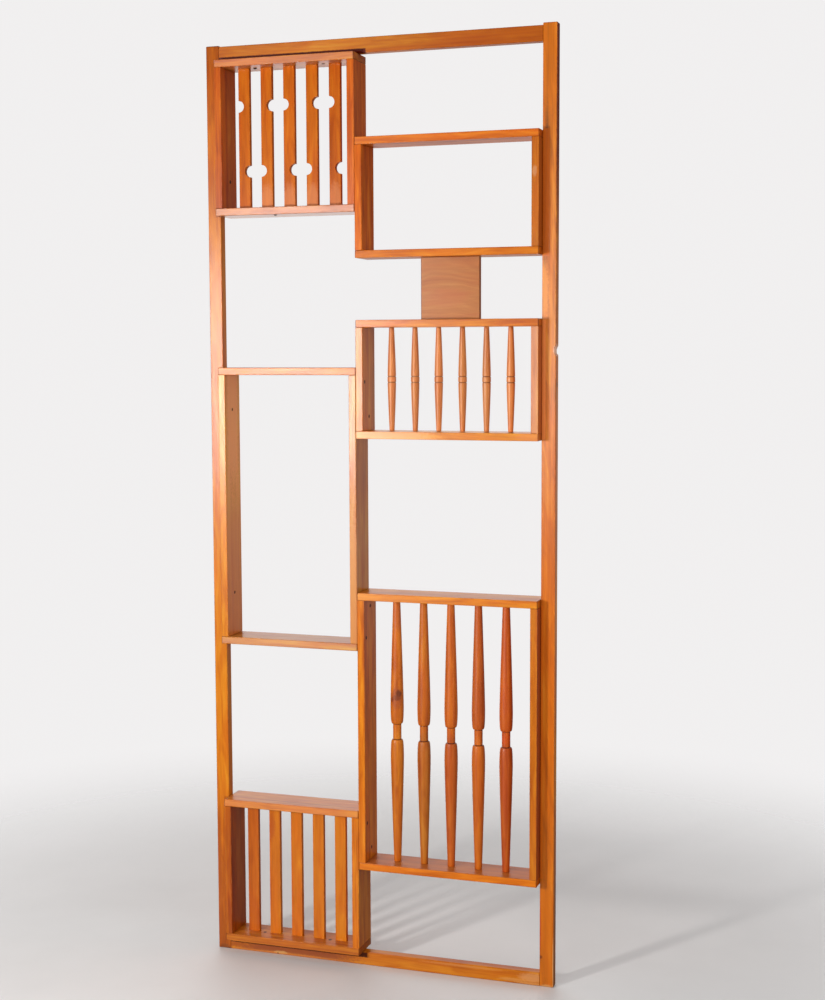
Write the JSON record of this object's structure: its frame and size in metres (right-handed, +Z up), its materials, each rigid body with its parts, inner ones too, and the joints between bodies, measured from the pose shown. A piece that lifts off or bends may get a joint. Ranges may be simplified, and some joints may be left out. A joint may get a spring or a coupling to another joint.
{
  "type": "wooden room divider",
  "caption": "Tall open wooden frame carrying shallow board boxes in two columns, with flat slats, notched slats, turned spindles and balusters between them.",
  "frame": {"origin": "on the floor, midway between the outer faces of the two stiles and in the middle plane of the frame", "axes": "+Z up, +X to the right seen from the front, +Y towards the back"},
  "size_m": [0.93, 0.092, 2.4],
  "materials": {
    "frame_wood": "orange-brown stained beech under clear satin varnish, worn at the feet",
    "box_wood": "orange-brown stained beech under clear satin varnish",
    "slat_wood": "orange-brown stained beech under clear satin varnish",
    "turned_wood": "turned, orange-brown stained beech under clear gloss varnish",
    "block_wood": "paler brown, wavy horizontal grain, satin varnish",
    "screw_steel": "dark, dull steel with a trace of varnish"
  },
  "bodies": {
    "root": {"baluster_1": "turned_wood", "baluster_2": "turned_wood", "baluster_3": "turned_wood", "baluster_4": "turned_wood", "baluster_5": "turned_wood", "baluster_box_bottom_board": "box_wood", "baluster_box_left_board": "box_wood", "baluster_box_right_board": "box_wood", "baluster_box_top_board": "box_wood", "bottom_rail": "frame_wood", "connector_block": "block_wood", "left_stile": "frame_wood", "notched_slat_1": "slat_wood", "notched_slat_2": "slat_wood", "notched_slat_3": "slat_wood", "notched_slat_4": "slat_wood", "notched_slat_5": "slat_wood", "notched_slat_box_bottom_board": "box_wood", "notched_slat_box_left_board": "box_wood", "notched_slat_box_right_board": "box_wood", "notched_slat_box_top_board": "box_wood", "plain_slat_1": "slat_wood", "plain_slat_2": "slat_wood", "plain_slat_3": "slat_wood", "plain_slat_4": "slat_wood", "plain_slat_5": "slat_wood", "plain_slat_box_bottom_board": "box_wood", "plain_slat_box_left_board": "box_wood", "plain_slat_box_right_board": "box_wood", "plain_slat_box_top_board": "box_wood", "right_stile": "frame_wood", "screw_baluster_box_1": "screw_steel", "screw_baluster_box_2": "screw_steel", "screw_baluster_box_3": "screw_steel", "screw_baluster_box_4": "screw_steel", "screw_plain_slat_box_to_rail_1": "screw_steel", "screw_plain_slat_box_to_rail_2": "screw_steel", "screw_spindle_box_to_tall_box_1": "screw_steel", "screw_spindle_box_to_tall_box_2": "screw_steel", "screw_tall_box_to_stile_1": "screw_steel", "screw_tall_box_to_stile_2": "screw_steel", "spindle_1": "turned_wood", "spindle_2": "turned_wood", "spindle_3": "turned_wood", "spindle_4": "turned_wood", "spindle_5": "turned_wood", "spindle_6": "turned_wood", "spindle_box_bottom_board": "box_wood", "spindle_box_left_board": "box_wood", "spindle_box_right_board": "box_wood", "spindle_box_top_board": "box_wood", "tall_open_box_bottom_board": "box_wood", "tall_open_box_left_board": "box_wood", "tall_open_box_right_board": "box_wood", "tall_open_box_top_board": "box_wood", "top_rail": "frame_wood", "upper_open_box_bottom_board": "box_wood", "upper_open_box_left_board": "box_wood", "upper_open_box_right_board": "box_wood", "upper_open_box_top_board": "box_wood"}
  },
  "joints": []
}
